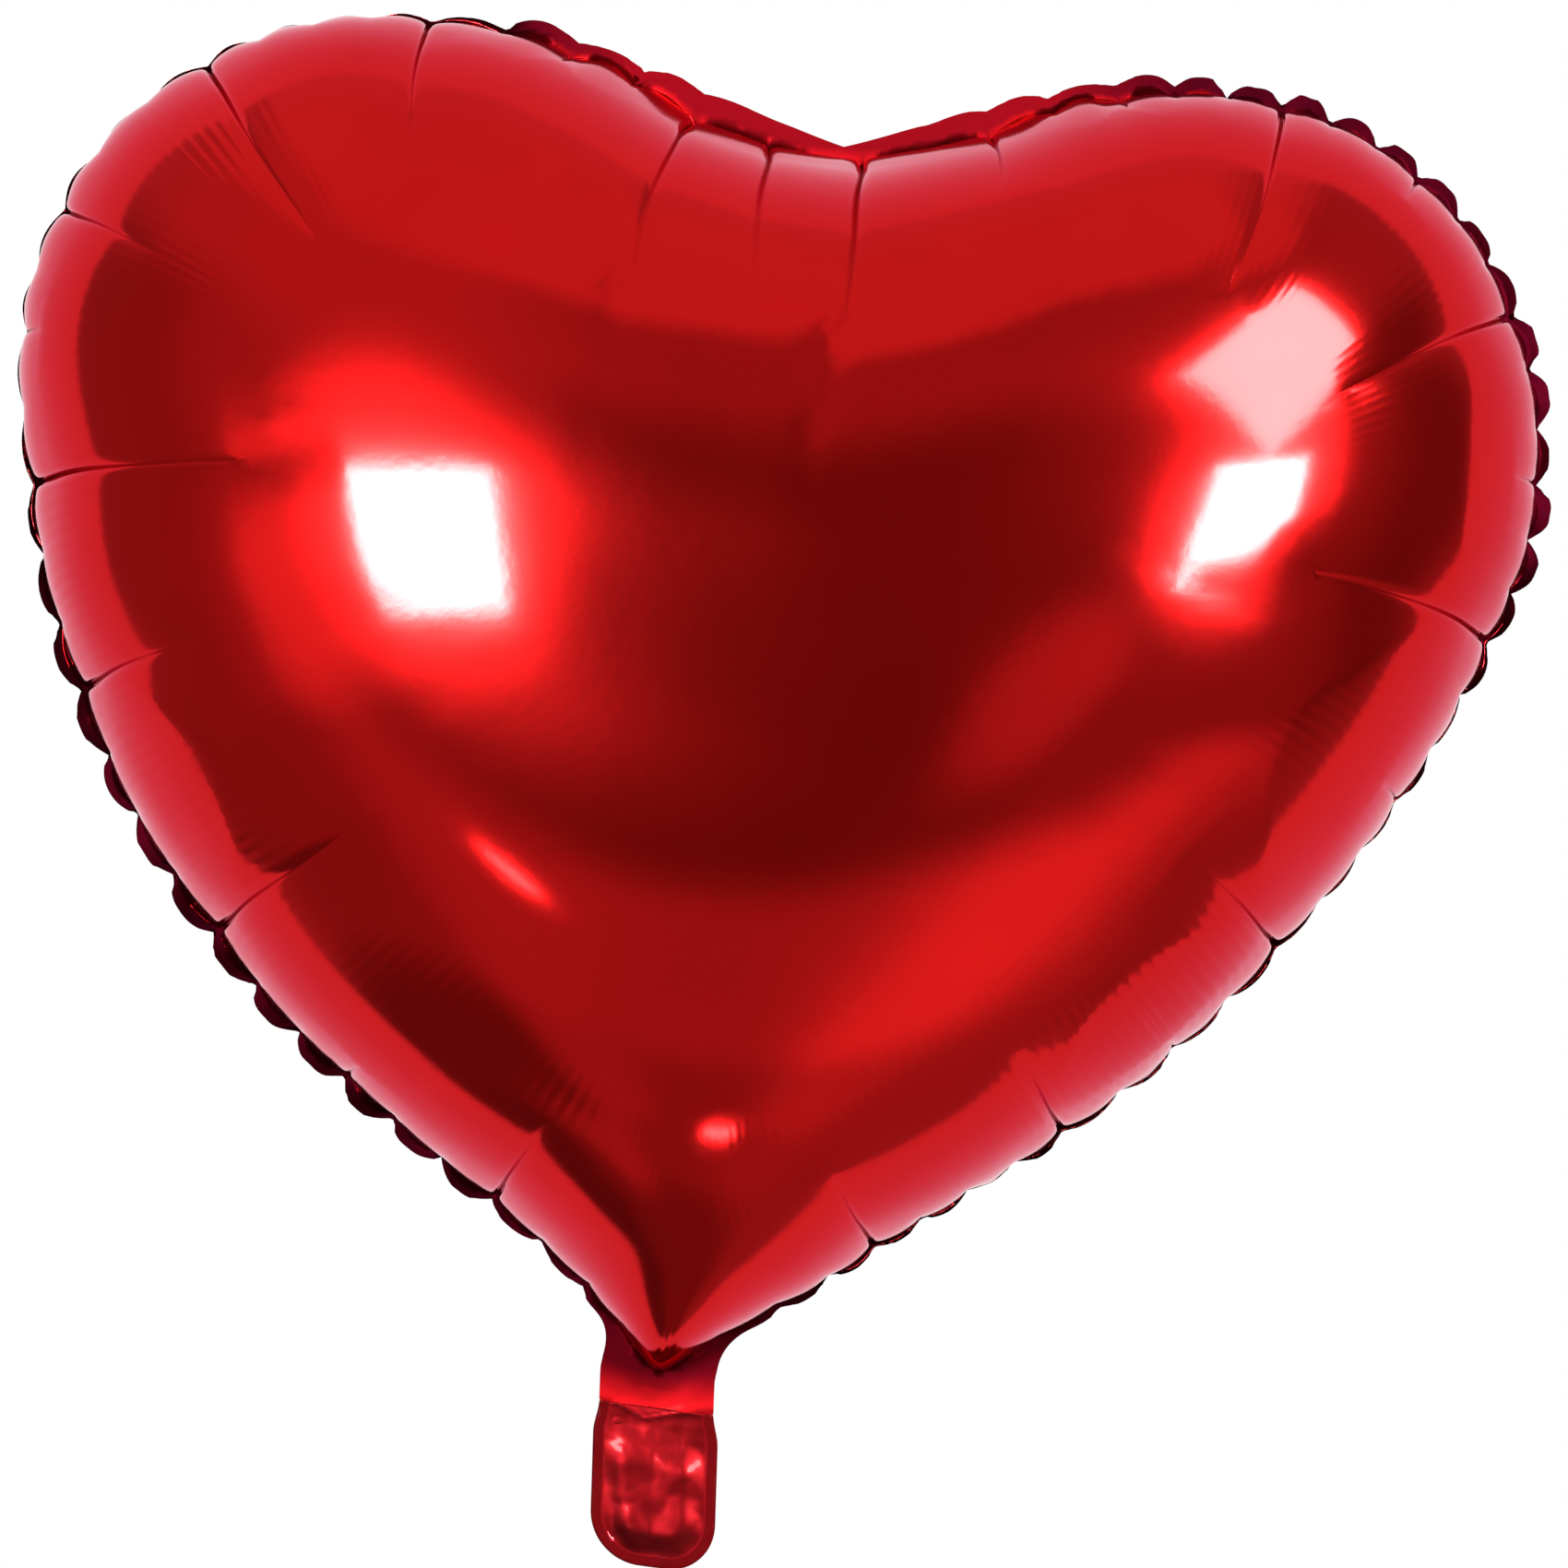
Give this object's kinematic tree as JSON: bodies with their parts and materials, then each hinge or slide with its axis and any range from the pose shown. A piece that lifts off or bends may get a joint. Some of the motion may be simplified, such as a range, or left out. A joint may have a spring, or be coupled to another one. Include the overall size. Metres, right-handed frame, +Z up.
{
  "type": "heart-shaped foil balloon",
  "caption": "Blown-up heart-shaped foil party balloon with crinkled rim seam, flat fill tail at the bottom and a self-sealing film valve inside.",
  "frame": {"origin": "tie point: the middle of the fold line at the neck, in the plane of the seam", "axes": "+Z up along the heart's axis, +X to the right seen from the front, front face towards -Y"},
  "size_m": [0.3872, 0.1838, 0.3844],
  "materials": {
    "foil": "mirror-bright metallised film, red outside",
    "seal_band": "heat-sealed band of the same film, finely crinkled",
    "valve_film": "clear soft film, slightly milky"
  },
  "bodies": {
    "envelope": {"front_panel": "foil", "back_panel": "foil", "perimeter_weld": "seal_band", "front_valve_root_film": "valve_film", "back_valve_root_film": "valve_film"},
    "tail": {"tail_front_layer": "foil", "tail_back_layer": "foil", "tail_side_welds": "seal_band", "front_valve_inlet_film": "valve_film", "back_valve_inlet_film": "valve_film"},
    "tail_end": {"tail_end_front_layer": "foil", "tail_end_back_layer": "foil", "tail_end_weld": "seal_band"},
    "front_valve_flap": {"front_valve_flap_film": "valve_film"},
    "back_valve_flap": {"back_valve_flap_film": "valve_film"}
  },
  "joints": [
    {"name": "neck_bend", "type": "hinge", "parent": "envelope", "child": "tail", "pos_m": [0, 0, 0], "axis": [1, 0, 0], "range_deg": [-75, 75]},
    {"name": "tail_fold", "type": "hinge", "parent": "tail", "child": "tail_end", "pos_m": [0, 0, -0.024], "axis": [1, 0, 0], "range_deg": [-60, 60]},
    {"name": "front_valve_open", "type": "hinge", "parent": "envelope", "child": "front_valve_flap", "pos_m": [0, -0.00015, 0.01375], "axis": [1, 0, 0], "range_deg": [0, 4], "stiffness_Nm_per_rad": 0.0002},
    {"name": "back_valve_open", "type": "hinge", "parent": "envelope", "child": "back_valve_flap", "pos_m": [0, 0.00015, 0.01375], "axis": [1, 0, 0], "range_deg": [-4, 0], "stiffness_Nm_per_rad": 0.0002}
  ],
  "couplings": [
    {"joint": "back_valve_open", "follows": "front_valve_open", "ratio": -1}
  ]
}
